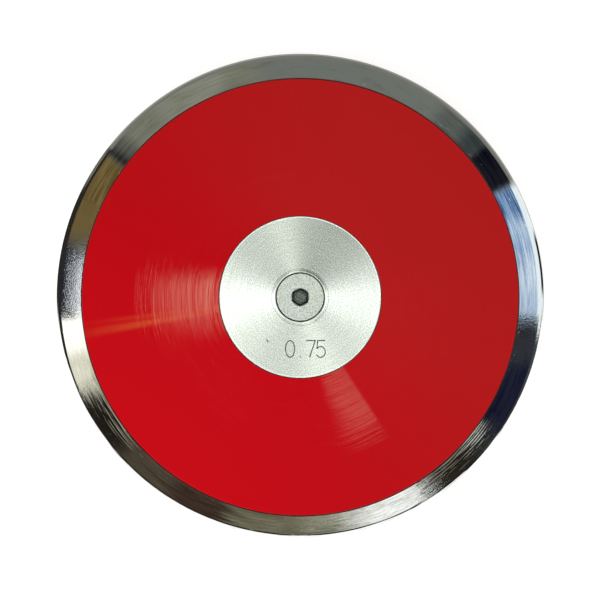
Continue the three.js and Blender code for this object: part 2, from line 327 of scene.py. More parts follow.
def stroke_cutter(points, closed):
    """A V-shaped bar along a stroke in the top face of the hub plate, to be cut out of it."""
    above = STAMP_DEPTH / 2
    half_top = STAMP_WIDTH / 2 * (STAMP_DEPTH + above) / STAMP_DEPTH
    section = [(-half_top, above), (half_top, above), (0, -STAMP_DEPTH)]
    bm = bmesh.new()
    rows = []
    count = len(points)
    corners = len(section)
    for index, point in enumerate(points):
        before = points[index - 1] if closed or index > 0 else point
        after = points[(index + 1) % count] if closed or index < count - 1 else point
        way_in = Vector(point) - Vector(before)
        way_out = Vector(after) - Vector(point)
        way_in = way_in.normalized() if way_in.length else way_out.normalized()
        way_out = way_out.normalized() if way_out.length else way_in
        along = (way_in + way_out).normalized()
        stretch = 1 / max(along.dot(way_in), 1 / MITRE_LIMIT)
        across = Vector((along.y, -along.x)) * stretch
        row = []
        for offset, height in section:
            place = Vector(point) + across * offset
            row.append(bm.verts.new((place.x, place.y, MIDDLE_Z + HALF_THICKNESS + height)))
        rows.append(row)
    spans = count if closed else count - 1
    for span in range(spans):
        here = rows[span]
        there = rows[(span + 1) % count]
        for corner in range(corners):
            beside = (corner + 1) % corners
            bm.faces.new((here[corner], there[corner], there[beside], here[beside]))
    if not closed:
        bm.faces.new(rows[0])
        bm.faces.new(rows[-1])
    bmesh.ops.recalc_face_normals(bm, faces=bm.faces)
    mesh = bpy.data.meshes.new("stroke")
    bm.to_mesh(mesh)
    bm.free()
    return new_object("stroke", mesh)


def cut(piece, cutter):
    """Takes the cutter out of the piece for good, and throws the cutter away."""
    modifier = piece.modifiers.new("cut", "BOOLEAN")
    modifier.operation = "DIFFERENCE"
    modifier.solver = "EXACT"
    modifier.object = cutter
    depsgraph = bpy.context.evaluated_depsgraph_get()
    result = bpy.data.meshes.new_from_object(piece.evaluated_get(depsgraph))
    piece.modifiers.clear()
    piece.data = result
    bpy.data.objects.remove(cutter)


def stamp_figures(hub):
    """Cuts a plain number and one small nick into the hub plate's face."""
    for place, figure in enumerate(FIGURES):
        middle = STAMP_CENTRE[0] + (place - (len(FIGURES) - 1) / 2) * STAMP_PITCH
        for points, closed in figure:
            scaled = [(middle + x * STAMP_HEIGHT, STAMP_CENTRE[1] + y * STAMP_HEIGHT) for x, y in points]
            cut(hub, stroke_cutter(scaled, closed))
    cut(hub, stroke_cutter(NICK, False))


# Materials


# Turns the grain's highlights from along the turning marks to across them
QUARTER_TURN = 0.25


class Recipe:
    """One procedural material, or the world's shader, built node by node. Each method returns a socket."""

    def __init__(self, owner):
        owner.use_nodes = True
        self.tree = owner.node_tree
        self.tree.nodes.clear()

    def node(self, kind, **settings):
        made = self.tree.nodes.new(kind)
        for key, value in settings.items():
            setattr(made, key, value)
        return made

    def feed(self, socket, value):
        """Links a socket into an input, or sets the input to a plain value."""
        if isinstance(value, bpy.types.NodeSocket):
            self.tree.links.new(value, socket)
        else:
            socket.default_value = value

    def math(self, operation, a, b=0.0):
        made = self.node("ShaderNodeMath", operation=operation)
        self.feed(made.inputs[0], a)
        self.feed(made.inputs[1], b)
        return made.outputs[0]

    def vector_math(self, operation, a, b=(0, 0, 0)):
        made = self.node("ShaderNodeVectorMath", operation=operation)
        self.feed(made.inputs[0], a)
        self.feed(made.inputs[1], b)
        return made.outputs["Value"] if operation in ("LENGTH", "DOT_PRODUCT") else made.outputs[0]

    def scaled(self, vector, factor):
        made = self.node("ShaderNodeVectorMath", operation="SCALE")
        self.feed(made.inputs[0], vector)
        self.feed(made.inputs["Scale"], factor)
        return made.outputs[0]

    def separate(self, vector):
        made = self.node("ShaderNodeSeparateXYZ")
        self.feed(made.inputs[0], vector)
        return made.outputs

    def combine(self, x, y, z):
        made = self.node("ShaderNodeCombineXYZ")
        for socket, value in zip(made.inputs, (x, y, z)):
            self.feed(socket, value)
        return made.outputs[0]

    def map_range(self, interpolation, value, low, high, to_low, to_high):
        made = self.node("ShaderNodeMapRange", interpolation_type=interpolation)
        self.feed(made.inputs["Value"], value)
        self.feed(made.inputs["From Min"], low)
        self.feed(made.inputs["From Max"], high)
        self.feed(made.inputs["To Min"], to_low)
        self.feed(made.inputs["To Max"], to_high)
        return made.outputs["Result"]

    def spread(self, value, low, high, to_low=0.0, to_high=1.0):
        """Maps low to high onto to_low to to_high, with soft ends."""
        return self.map_range("SMOOTHSTEP", value, low, high, to_low, to_high)

    def ramp(self, value, low, high, to_low, to_high):
        """Maps low to high onto to_low to to_high in a straight line, and holds the ends."""
        return self.map_range("LINEAR", value, low, high, to_low, to_high)

    def mix(self, factor, a, b):
        """Goes from colour a to colour b, by the node's own sockets for colours."""
        made = self.node("ShaderNodeMix", data_type="RGBA")
        self.feed(made.inputs["Factor"], factor)
        self.feed(made.inputs[6], a)
        self.feed(made.inputs[7], b)
        return made.outputs[2]

    def noise(self, vector, scale, detail=2.0, roughness=0.5):
        """Noise that lies mostly between 0.3 and 0.7."""
        made = self.node("ShaderNodeTexNoise")
        self.feed(made.inputs["Vector"], vector)
        made.inputs["Scale"].default_value = scale
        made.inputs["Detail"].default_value = detail
        made.inputs["Roughness"].default_value = roughness
        return made.outputs["Fac"]

    def bump(self, height, distance, normal=None):
        """Relief of the given depth, in metres, where height goes from 0 to 1."""
        made = self.node("ShaderNodeBump")
        self.feed(made.inputs["Height"], height)
        made.inputs["Strength"].default_value = 1.0
        made.inputs["Distance"].default_value = distance
        if normal is not None:
            self.feed(made.inputs["Normal"], normal)
        return made.outputs[0]

    def band(self, value, low, high, edge):
        """1 where a value lies between low and high, and 0 elsewhere."""
        middle = (low + high) / 2
        half = (high - low) / 2
        away = self.math("ABSOLUTE", self.math("SUBTRACT", value, middle))
        return self.spread(away, half + edge, half - edge)

    def sector(self, azimuth, start, end, edge):
        """1 where an azimuth lies between start and end, and 0 elsewhere, all in degrees."""
        middle = (start + end) / 2 * DEGREE
        half = (end - start) / 2
        away = self.math("ARCCOSINE", self.math("COSINE", self.math("SUBTRACT", azimuth, middle)))
        return self.spread(away, (half + edge) * DEGREE, (half - edge) * DEGREE)

    def place(self):
        return self.node("ShaderNodeTexCoord").outputs["Object"]

    def flat_place(self):
        """The place without its height."""
        x, y, z = self.separate(self.place())
        return self.combine(x, y, 0.0)

    def radius(self):
        """Distance from the axis."""
        return self.vector_math("LENGTH", self.flat_place())

    def azimuth(self):
        """Angle round the axis, anticlockwise from +X, in radians."""
        x, y, z = self.separate(self.place())
        return self.math("ARCTAN2", y, x)

    def height(self):
        """Distance from the middle plane, on either side of it."""
        x, y, z = self.separate(self.place())
        return self.math("ABSOLUTE", self.math("SUBTRACT", z, MIDDLE_Z))

    def ring_noise(self, pitch, sweep, detail, roughness=0.5):
        """Noise that runs round the axis: lines about a pitch apart that last about 1 / sweep radians."""
        heading = self.scaled(self.vector_math("NORMALIZE", self.flat_place()), sweep)
        run = self.math("SUBTRACT", self.radius(), self.height())
        across = self.combine(0.0, 0.0, self.math("MULTIPLY", run, 1 / pitch))
        return self.noise(self.vector_math("ADD", heading, across), 1.0, detail, roughness)

    def even_noise(self, size, detail, roughness=0.5):
        """Noise with spots about a size across."""
        return self.noise(self.place(), 1 / size, detail, roughness)

    def surface(self, color, roughness, normal, metallic, anisotropic=0.0, **constants):
        shader = self.node("ShaderNodeBsdfPrincipled")
        self.feed(shader.inputs["Base Color"], color)
        self.feed(shader.inputs["Roughness"], roughness)
        if normal is not None:
            self.feed(shader.inputs["Normal"], normal)
        shader.inputs["Metallic"].default_value = metallic
        if anisotropic:
            tangent = self.node("ShaderNodeTangent", direction_type="RADIAL", axis="Z")
            shader.inputs["Anisotropic"].default_value = anisotropic
            shader.inputs["Anisotropic Rotation"].default_value = QUARTER_TURN
            self.feed(shader.inputs["Tangent"], tangent.outputs[0])
        for name, value in constants.items():
            shader.inputs[name].default_value = value
        output = self.node("ShaderNodeOutputMaterial")
        self.feed(output.inputs["Surface"], shader.outputs[0])


# Colours, as linear red, green, blue and alpha
STEEL = (0.74, 0.745, 0.73, 1)
STAINED_STEEL = (0.6, 0.58, 0.52, 1)
# Painted shade: the rim's ledge, seen down the narrow gap round the side plate
LEDGE_SHADE = (0.06, 0.022, 0.02, 1)
DEEP_RED = (0.568, 0.0041, 0.0093, 1)
BRIGHT_RED = (0.588, 0.0045, 0.0098, 1)
DULL_ALUMINIUM = (0.7, 0.79, 0.72, 1)
BRIGHT_ALUMINIUM = (0.99, 1.0, 0.97, 1)
# Painted shade in the hub plate's tool grooves and stamped strokes
GROOVE_SHADE = (0.28, 0.29, 0.285, 1)
# Painted shade in the countersink, seen in the gap round the screw head: grey on one side, black on the other
PALE_SHADE = (0.2, 0.215, 0.21, 1)
BLACK_SHADE = (0.006, 0.007, 0.007, 1)
DULL_ZINC = (0.55, 0.64, 0.57, 1)
COOL_ZINC = (0.95, 1.0, 0.98, 1)
WARM_ZINC = (0.98, 1.0, 0.92, 1)
# Painted shade in the screw's hexagon socket, darkest at its walls
SOCKET_SHADE = (0.012, 0.016, 0.014, 1)
SOCKET_HALF_SHADE = (0.32, 0.38, 0.35, 1)
SOCKET_WALL_SHADE = (0.012, 0.014, 0.013, 1)
DARK_MILL_STEEL = (0.3, 0.31, 0.32, 1)
PALE_MILL_STEEL = (0.42, 0.42, 0.43, 1)
DARK_FOAM = (0.012, 0.012, 0.013, 1)
PALE_FOAM = (0.03, 0.03, 0.032, 1)

# Patches of the rim where the tool chattered, and where fine lines are scored round it, as azimuths from start to
# end, in degrees, and how strongly
CHATTER = [(157, 184, 1.0), (316, 326, 0.3), (343, 356, 0.8)]
SCORED = [(194, 224, 1.0), (266, 292, 0.45), (299, 328, 1.0)]
PATCH_SOFT = 3

# Hands have scratched the side plates most towards the middle: fully from the second radius in, and hardly from the
# first one out
WORN_RADII = (58 * MM, 50 * MM)

HUB_FACE_CROWN = 3.5 * DEGREE
HUB_EDGE_WIDTH = 0.8 * MM

# The side of the countersink that is painted black as painted shade, in degrees of azimuth
SHADED_SIDE = (70, 290)
SHADED_SIDE_SOFT = 50

SOCKET_TURN = -4 * DEGREE
SOCKET_HALF_WIDTH = 2.72 * MM


def new_material(name):
    material = bpy.data.materials.new(name)
    return material, Recipe(material)


def patches_of(recipe, patches):
    """How strongly a place is marked, from a list of (start, end, share)."""
    azimuth = recipe.azimuth()
    total = 0.0
    for start, end, share in patches:
        patch = recipe.sector(azimuth, start, end, PATCH_SOFT)
        total = recipe.math("MAXIMUM", total, recipe.math("MULTIPLY", patch, share))
    return total


def rim_steel():
    """Bright turned steel: it mirrors the room, drawn out into fine rings by the turning marks."""
    material, recipe = new_material("rim_steel")
    rings = recipe.ring_noise(1.0 * MM, 6.0, detail=1)
    waves = recipe.ring_noise(3.5 * MM, 3.0, detail=0)
    lines = recipe.ring_noise(0.8 * MM, 9.0, detail=0)
    scratches = recipe.ring_noise(0.5 * MM, 18.0, detail=2)
    stains = recipe.ring_noise(3.0 * MM, 9.0, detail=3, roughness=0.6)
    cells = recipe.ring_noise(0.4 * MM, 120.0, detail=1)
    color = recipe.mix(recipe.spread(stains, 0.5, 0.8), STEEL, STAINED_STEEL)
    # The ledge under the side plate is painted near black, as painted shade in the narrow gap between the rim and
    # the side plate
    ledge = recipe.spread(recipe.radius(), REBATE_RADIUS + 0.01 * MM, REBATE_RADIUS - 0.01 * MM)
    color = recipe.mix(ledge, color, LEDGE_SHADE)
    roughness = recipe.spread(rings, 0.3, 0.7, 0.03, 0.05)
    normal = recipe.bump(waves, 0.01 * MM)
    normal = recipe.bump(rings, 0.002 * MM, normal)
    normal = recipe.bump(recipe.spread(scratches, 0.62, 0.75), 0.006 * MM, normal)
    normal = recipe.bump(recipe.math("MULTIPLY", lines, patches_of(recipe, SCORED)), 0.06 * MM, normal)
    normal = recipe.bump(recipe.math("MULTIPLY", cells, patches_of(recipe, CHATTER)), 0.036 * MM, normal)
    recipe.surface(color, roughness, normal, metallic=1.0, anisotropic=0.4)
    return material


def red_plastic():
    """Glossy moulded plastic with faint scratches that run round the axis."""
    material, recipe = new_material("red_plastic")
    scratches = recipe.ring_noise(0.7 * MM, 0.8, detail=2, roughness=0.6)
    rings = recipe.ring_noise(2.6 * MM, 1.5, detail=0)
    clouds = recipe.ring_noise(30 * MM, 1.5, detail=1)
    color = recipe.mix(clouds, DEEP_RED, BRIGHT_RED)
    roughness = recipe.spread(scratches, 0.35, 0.65, 0.018, 0.024)
    worn = recipe.spread(recipe.radius(), *WORN_RADII, 0.15, 1.0)
    scored = recipe.math("MULTIPLY", recipe.spread(scratches, 0.44, 0.56), worn)
    normal = recipe.bump(scored, 0.0025 * MM)
    normal = recipe.bump(rings, 0.002 * MM, normal)
    recipe.surface(color, roughness, normal, metallic=0.0)
    return material


def hub_aluminium():
    """Aluminium faced on a lathe: fine rings that spread every highlight along a line through the centre."""
    material, recipe = new_material("hub_aluminium")
    fine = recipe.ring_noise(0.6 * MM, 3.0, detail=1)
    grit = recipe.even_noise(0.42 * MM, detail=1, roughness=0.8)
    tone = recipe.math("ADD", recipe.math("MULTIPLY", grit, 0.8), recipe.math("MULTIPLY", fine, 0.2))
    color = recipe.mix(recipe.spread(tone, 0.38, 0.62), DULL_ALUMINIUM, BRIGHT_ALUMINIUM)
    # Painted shade darkens the tool grooves and the stamped number, and the gap round the screw head, near black on
    # one side of the countersink and grey on the other
    radius = recipe.radius()
    sunk = recipe.math("SUBTRACT", recipe.height(), HALF_THICKNESS)
    deep = recipe.spread(sunk, -0.01 * MM, -0.07 * MM)
    face = recipe.band(radius, COUNTERSINK_RADIUS + MOUTH_BREAK, HUB_RADIUS - HUB_EDGE_WIDTH, 0.02 * MM)
    color = recipe.mix(recipe.math("MULTIPLY", deep, face), color, GROOVE_SHADE)
    # Painted shade in the countersink: black on one side, grey on the other
    shade_side_mask = recipe.sector(recipe.azimuth(), *SHADED_SIDE, SHADED_SIDE_SOFT)
    countersink_shade = recipe.mix(shade_side_mask, PALE_SHADE, BLACK_SHADE)
    bore = recipe.spread(radius, COUNTERSINK_RADIUS + 0.02 * MM, COUNTERSINK_RADIUS - 0.04 * MM)
    color = recipe.mix(bore, color, countersink_shade)
    # The metal is smoother round the screw and along the outer edge
    mouth = recipe.spread(radius, COUNTERSINK_RADIUS + 1.6 * MM, COUNTERSINK_RADIUS + 0.3 * MM)
    edge = recipe.spread(radius, HUB_RADIUS - HUB_EDGE_WIDTH, HUB_RADIUS - HUB_EDGE_WIDTH / 2)
    roughness = recipe.ramp(recipe.math("MAXIMUM", mouth, edge), 0.0, 1.0, 0.24, 0.13)
    # The face is very slightly crowned
    normal = recipe.bump(recipe.math("MULTIPLY", radius, -math.tan(HUB_FACE_CROWN)), 1.0)
    normal = recipe.bump(fine, 0.004 * MM, normal)
    recipe.surface(color, roughness, normal, metallic=1.0, anisotropic=0.9)
    return material


def across_socket(recipe):
    """Distance from the axis, as measured across the flats of the hexagon socket."""
    flat = recipe.flat_place()
    across = 0.0
    for side in range(3):
        angle = SOCKET_TURN + side * math.pi / 3
        facing = recipe.vector_math("DOT_PRODUCT", flat, (math.cos(angle), math.sin(angle), 0))
        across = recipe.math("MAXIMUM", across, recipe.math("ABSOLUTE", facing))
    return across


def screw_steel():
    """Dull zinc plating with a forged, slightly mottled face. The hexagon socket is painted dark as painted shade,
    darkest towards its walls.
    """
    material, recipe = new_material("screw_steel")
    mottle = recipe.even_noise(0.5 * MM, detail=2, roughness=0.9)
    grain = recipe.even_noise(0.4 * MM, detail=1)
    patches = recipe.even_noise(4 * MM, detail=1)
    pale = recipe.mix(recipe.spread(patches, 0.35, 0.65), COOL_ZINC, WARM_ZINC)
    color = recipe.mix(recipe.spread(mottle, 0.4, 0.52), DULL_ZINC, pale)
    across = across_socket(recipe)
    inside = recipe.spread(across, SOCKET_HALF_WIDTH + 0.03 * MM, SOCKET_HALF_WIDTH - 0.03 * MM)
    sunk = recipe.spread(recipe.height(), HALF_THICKNESS - 0.1 * MM, HALF_THICKNESS - 0.15 * MM)
    # Painted shade in the hexagon socket: mottled dark grey at the bottom, near black towards the walls
    painted_socket_shade = recipe.mix(recipe.spread(mottle, 0.38, 0.58), SOCKET_SHADE, SOCKET_HALF_SHADE)
    painted_socket_shade = recipe.mix(recipe.spread(across, 1.5 * MM, 2.6 * MM), painted_socket_shade, SOCKET_WALL_SHADE)
    color = recipe.mix(recipe.math("MULTIPLY", inside, sunk), color, painted_socket_shade)
    roughness = recipe.spread(grain, 0.3, 0.7, 0.36, 0.5)
    normal = recipe.bump(mottle, 0.06 * MM)
    normal = recipe.bump(grain, 0.03 * MM, normal)
    recipe.surface(color, roughness, normal, metallic=1.0)
    return material


def weight_steel():
    """Plain mill steel inside the discus, drawn along its axis, with a little oil on it."""
    material, recipe = new_material("weight_steel")
    drawn = recipe.noise(recipe.vector_math("MULTIPLY", recipe.place(), (1.0, 1.0, 0.08)), 2200.0, detail=3)
    film = recipe.noise(recipe.place(), 160.0, detail=2)
    color = recipe.mix(drawn, DARK_MILL_STEEL, PALE_MILL_STEEL)
    roughness = recipe.spread(film, 0.35, 0.65, 0.3, 0.5)
    recipe.surface(color, roughness, recipe.bump(drawn, 0.01 * MM), metallic=1.0)
    return material


def tape_rubber():
    """Thin black foam tape."""
    material, recipe = new_material("tape_rubber")
    cells = recipe.noise(recipe.place(), 4000.0, detail=2)
    color = recipe.mix(cells, DARK_FOAM, PALE_FOAM)
    recipe.surface(color, 0.85, recipe.bump(cells, 0.03 * MM), metallic=0.0)
    return material


MATERIALS = {
    "rim_steel": rim_steel(),
    "red_plastic": red_plastic(),
    "hub_aluminium": hub_aluminium(),
    "screw_steel": screw_steel(),
    "weight_steel": weight_steel(),
    "tape_rubber": tape_rubber(),
}


# The pieces that stand for CAD nodes, each on the root body


def stand_for(piece, node, slot):
    piece.data.materials.clear()
    piece.data.materials.append(MATERIALS[slot])
    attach(piece, "root")
    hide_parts(node)


def dress_cad_node(name, slot):
    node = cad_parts[name]
    node.data.materials.clear()
    node.data.materials.append(MATERIALS[slot])


stand_for(turned("turned_rim", rim_section()), "rim", "rim_steel")
for half, side in (("upper", 1), ("lower", -1)):
    plate = turned(f"{half}_plate_shell", side_plate_section(), side)
    stand_for(plate, f"{half}_side_plate", "red_plastic")
    hub = turned(f"{half}_hub_disc", hub_plate_section(), side)
    if half == "upper":
        stamp_figures(hub)
    stand_for(hub, f"{half}_hub_plate", "hub_aluminium")
    dress_cad_node(f"{half}_hub_screw", "screw_steel")
    dress_cad_node(f"{half}_trim_shim", "weight_steel")
    dress_cad_node(f"{half}_seat_tape", "tape_rubber")
dress_cad_node("centre_weight", "weight_steel")


# Floor, room and lights


FLOOR_HALF_SIDE = 12.0
FLOOR_WHITES = ((0.44, 0.44, 0.44, 1), (0.47, 0.47, 0.47, 1))
FLOOR_GLOW = 0.79


def make_floor():
    """Pale paper, lit from within a little, so that it is as white as the backdrop."""
    side = FLOOR_HALF_SIDE
    mesh = bpy.data.meshes.new("floor")
    corners = [(-side, -side, 0), (side, -side, 0), (side, side, 0), (-side, side, 0)]
    mesh.from_pydata(corners, [], [(0, 1, 2, 3)])
    floor = new_object("floor", mesh)
    floor.visible_glossy = False
    material, recipe = new_material("floor_paper")
    fibres = recipe.noise(recipe.place(), 900.0, detail=2)
    glow = {"Emission Color": (1, 1, 1, 1), "Emission Strength": FLOOR_GLOW}
    recipe.surface(recipe.mix(fibres, *FLOOR_WHITES), 0.95, None, metallic=0.0, **glow)
    mesh.materials.append(material)


WALL_GREY = (0.2, 0.215, 0.195)

# An area of the room: azimuths from start to end, anticlockwise from +X, and heights from low to high, above the
# horizon, all in degrees. Level streaks run through it, from its dim colour to its bright one. Its sides fade over
# the soft degrees on either side of start and end.
Wall = namedtuple("Wall", "start end low high dim bright soft", defaults=(0.5,))

# What stands round the discus, where the rim mirrors it. The bevel mirrors what is 25 to 35 degrees up, and the
# round edge mirrors all below that, down to the floor. Where two areas overlap, the later one covers the earlier.
WALLS = [
    # The floor, by the light that falls on it
    Wall(28, 142, -90, -34, (0.33, 0.34, 0.31), (0.46, 0.47, 0.43)),
    Wall(28, 142, -34, 4, (0.2, 0.21, 0.18), (0.26, 0.265, 0.24)),
    Wall(142, 262, -90, 12, (0.02, 0.018, 0.016), (0.04, 0.035, 0.03)),
    Wall(142, 152, -90, -20, (0.17, 0.16, 0.14), (0.26, 0.25, 0.22), 3),
    Wall(262, 345, -90, -1, (0.03, 0.026, 0.022), (0.07, 0.065, 0.06)),
    Wall(-22, -8, -60, 3, (0.03, 0.04, 0.05), (0.12, 0.15, 0.18), 3),
    Wall(-9, 28, -60, 21, (0.95, 1.07, 1.13), (1.15, 1.25, 1.3), 1.5),
    Wall(1, 15, -90, -26, (0.006, 0.01, 0.013), (0.03, 0.04, 0.05), 2),
    # The walls and what stands against them
    Wall(-5, 14, 20, 42, (0.36, 0.5, 0.74), (0.85, 1.0, 1.15)),
    Wall(10, 24, 20, 42, (0.16, 0.3, 0.6), (0.78, 0.95, 1.12), 4),
    Wall(20, 28.6, 20, 42, (0.03, 0.08, 0.25), (0.35, 0.56, 0.88), 3),
    Wall(28.6, 60, 2, 42, (0.1, 0.115, 0.108), (0.14, 0.155, 0.146)),
    Wall(53, 106, 2, 42, WALL_GREY, WALL_GREY, 3),
    Wall(39, 45, 2, 42, (0.035, 0.046, 0.048), (0.068, 0.084, 0.086), 2.5),
    Wall(28.4, 39.5, 2, 42, (0.004, 0.004, 0.01), (0.016, 0.018, 0.026), 1.3),
    Wall(101, 114, 2, 42, (0.19, 0.2, 0.145), (0.27, 0.285, 0.22), 3),
    Wall(110, 132, 2, 42, (0.25, 0.26, 0.205), (0.34, 0.35, 0.295), 3),
    Wall(128, 142, 2, 42, (0.19, 0.195, 0.145), (0.27, 0.275, 0.22), 3),
    Wall(137.5, 143.8, 2, 42, (0.1, 0.1, 0.09), (0.15, 0.15, 0.135), 2),
    Wall(141, 143.8, 2, 42, (0.02, 0.02, 0.021), (0.055, 0.055, 0.052), 1.5),
    Wall(143.8, 166, 8, 42, (0.12, 0.078, 0.022), (0.26, 0.19, 0.075), 1.4),
    Wall(166.5, 185, 0, 42, (0.006, 0.007, 0.012), (0.05, 0.055, 0.08), 2),
    Wall(170, 186, 29.5, 42, (1.0, 1.05, 1.15), (1.5, 1.55, 1.6), 3),
    Wall(185.5, 197, -2, 42, (1.5, 1.5, 1.4), (1.7, 1.7, 1.6), 1.2),
    Wall(193, 204, -2, 42, (0.7, 0.68, 0.52), (1.2, 1.18, 1.0), 3),
    Wall(204, 222, 0, 33, (0.002, 0.0015, 0.001), (0.04, 0.035, 0.025)),
    Wall(204, 222, 33, 42, (0.22, 0.2, 0.15), (0.5, 0.47, 0.38)),
    Wall(221, 240, 0, 42, (0.06, 0.045, 0.03), (0.11, 0.085, 0.062), 2),
    Wall(236, 253, 0, 42, (0.04, 0.024, 0.016), (0.08, 0.052, 0.038), 2),
    Wall(252, 275, 0, 42, (0.13, 0.12, 0.075), (0.25, 0.235, 0.165), 2),
    Wall(271, 284, 0, 42, (0.2, 0.195, 0.13), (0.5, 0.5, 0.4), 2),
    Wall(281, 303, 0, 42, (0.3, 0.3, 0.25), (1.1, 1.12, 1.05), 2),
    Wall(287, 303, 0, 42, (0.8, 0.82, 0.8), (1.4, 1.43, 1.4), 3),
    Wall(303, 320, 0, 32.5, (0.002, 0.0015, 0.001), (0.06, 0.05, 0.038)),
    Wall(303, 320, 32.5, 42, (0.15, 0.135, 0.1), (0.4, 0.37, 0.3)),
    Wall(318, 325, 0, 31, (0.01, 0.012, 0.01), (0.08, 0.085, 0.075)),
    Wall(318, 325, 31, 42, (0.4, 0.42, 0.37), (0.95, 0.98, 0.9)),
    Wall(325, 346, 0, 42, (0.006, 0.008, 0.026), (0.022, 0.024, 0.048)),
    Wall(343, 355, 0, 42, (0.01, 0.012, 0.018), (0.07, 0.075, 0.088), 2),
]

# Pale patches overhead, which only the hub mirrors: azimuths from start to end, in degrees, and the radiance
OVERHEAD_HEIGHTS = (71, 88)
OVERHEAD_WHITE = (0.93, 0.97, 0.91)
OVERHEAD = [
    (-28, 12, (1.7, 1.72, 1.7)),
    (12, 28, (0.5, 0.53, 0.5)),
    (28, 92, (0.08, 0.085, 0.08)),
    (94, 112, (1.15, 1.2, 1.08)),
    (113, 152, (0.5, 0.54, 0.5)),
    (168, 208, (2.1, 2.1, 2.05)),
    (208, 232, (1.5, 1.52, 1.42)),
    (232, 270, (1.0, 1.05, 0.97)),
    (276, 298, (1.55, 1.6, 1.5)),
]
OVERHEAD_SOFT = 3

# The broad ring of light overhead, between two tilts away from straight up
RING_LIGHT = (1.25, 1.26, 1.23)
RING_TILTS = (33, 47)
RING_SOFT = 1.5

# The side plates mirror the dark between the patches and the ring, which isn't quite black towards one side
DARK = (0.0, 0.0, 0.0)
DARK_HAZE = (0.22, 0.215, 0.13)
HAZE_AZIMUTH = 35
DARK_HEIGHTS = (36, 39)

# The table's white, which the lower part of the round edge mirrors, most of all at the bottom of the picture, and
# the shade above its far edge. The tops are the heights of that edge a quarter turn off TABLE_AZIMUTH and straight
# towards it. The shade fades out between SHADE_ENDS, which are counted from the edge.
TABLE_WHITE = (1.36, 1.36, 1.37)
TABLE_SHADE = (0.012, 0.011, 0.01)
TABLE_AZIMUTH = 270
TABLE_TOPS = (-49, 9)
TABLE_SOFT = 1.5
SHADE_ENDS = (15, 10)

# How often the streaks change in a radian round and in a radian up
STREAKS_ROUND = 4.0
STREAKS_UP = 110.0

# Towards the bottom of the picture the areas have ragged sides, which wander within so many degrees
RAGGED_AZIMUTHS = (198, 332)
RAGGED_SOFT = 4
RAGGED_SWING = 20

# How far the areas fade at their feet and tops, in degrees
AREA_EDGE = 1.0

BACKDROP = (1.0, 1.0, 1.0)


def opaque(color):
    return (*color, 1)


def toward(recipe, azimuth, middle):
    """1 straight towards an azimuth, given in degrees, 0 a quarter turn off it, and -1 straight away from it."""
    return recipe.math("COSINE", recipe.math("SUBTRACT", azimuth, middle * DEGREE))


def above_walls(recipe, azimuth, height):
    """The grey of the walls, the dark above them, and the ring of light in the dark."""
    haze = recipe.spread(toward(recipe, azimuth, HAZE_AZIMUTH), -0.8, 0.9)
    dark = recipe.mix(haze, opaque(DARK), opaque(DARK_HAZE))
    low, high = DARK_HEIGHTS
    color = recipe.mix(recipe.spread(height, low * DEGREE, high * DEGREE), opaque(WALL_GREY), dark)
    ring_low, ring_high = (90 - tilt for tilt in reversed(RING_TILTS))
    ring = recipe.band(height, ring_low * DEGREE, ring_high * DEGREE, RING_SOFT * DEGREE)
    return recipe.mix(ring, color, opaque(RING_LIGHT))


def with_walls(recipe, color, azimuth, height, heading):
    """Paints the areas round the discus over a colour."""
    climb = recipe.combine(0.0, 0.0, recipe.math("MULTIPLY", height, STREAKS_UP))
    streaks = recipe.noise(recipe.vector_math("ADD", recipe.scaled(heading, STREAKS_ROUND), climb), 1.0, detail=1)
    streaks = recipe.spread(streaks, 0.4, 0.62)
    ragged = recipe.math("SUBTRACT", recipe.noise(recipe.vector_math("ADD", heading, climb), 1.0, detail=1), 0.5)
    ragged = recipe.math("MULTIPLY", ragged, recipe.sector(azimuth, *RAGGED_AZIMUTHS, RAGGED_SOFT))
    ragged_azimuth = recipe.math("ADD", azimuth, recipe.math("MULTIPLY", ragged, RAGGED_SWING * DEGREE))
    for wall in WALLS:
        across = recipe.sector(ragged_azimuth, wall.start, wall.end, wall.soft)
        up = recipe.band(height, wall.low * DEGREE, wall.high * DEGREE, AREA_EDGE * DEGREE)
        paint = recipe.mix(streaks, opaque(wall.dim), opaque(wall.bright))
        color = recipe.mix(recipe.math("MULTIPLY", across, up), color, paint)
    return color


def with_overhead(recipe, color, azimuth, height):
    """Paints the pale patches straight overhead over a colour."""
    low, high = OVERHEAD_HEIGHTS
    everywhere = recipe.band(height, low * DEGREE, (90 + AREA_EDGE) * DEGREE, AREA_EDGE * DEGREE)
    color = recipe.mix(everywhere, color, opaque(OVERHEAD_WHITE))
    up = recipe.band(height, low * DEGREE, high * DEGREE, AREA_EDGE * DEGREE)
    for start, end, radiance in OVERHEAD:
        across = recipe.sector(azimuth, start, end, OVERHEAD_SOFT)
        color = recipe.mix(recipe.math("MULTIPLY", across, up), color, opaque(radiance))
    return color


def with_table(recipe, color, azimuth, height):
    """Paints the table's white over a colour, and the dark edge above it."""
    facing = toward(recipe, azimuth, TABLE_AZIMUTH)
    top = recipe.ramp(facing, 0.0, 1.0, TABLE_TOPS[0] * DEGREE, TABLE_TOPS[1] * DEGREE)
    above = recipe.math("SUBTRACT", height, top)
    near = recipe.spread(facing, 0.0, 0.15)
    shade = recipe.spread(above, SHADE_ENDS[0] * DEGREE, SHADE_ENDS[1] * DEGREE)
    color = recipe.mix(recipe.math("MULTIPLY", shade, near), color, opaque(TABLE_SHADE))
    table = recipe.spread(above, TABLE_SOFT * DEGREE, -TABLE_SOFT * DEGREE)
    return recipe.mix(recipe.math("MULTIPLY", table, near), color, opaque(TABLE_WHITE))


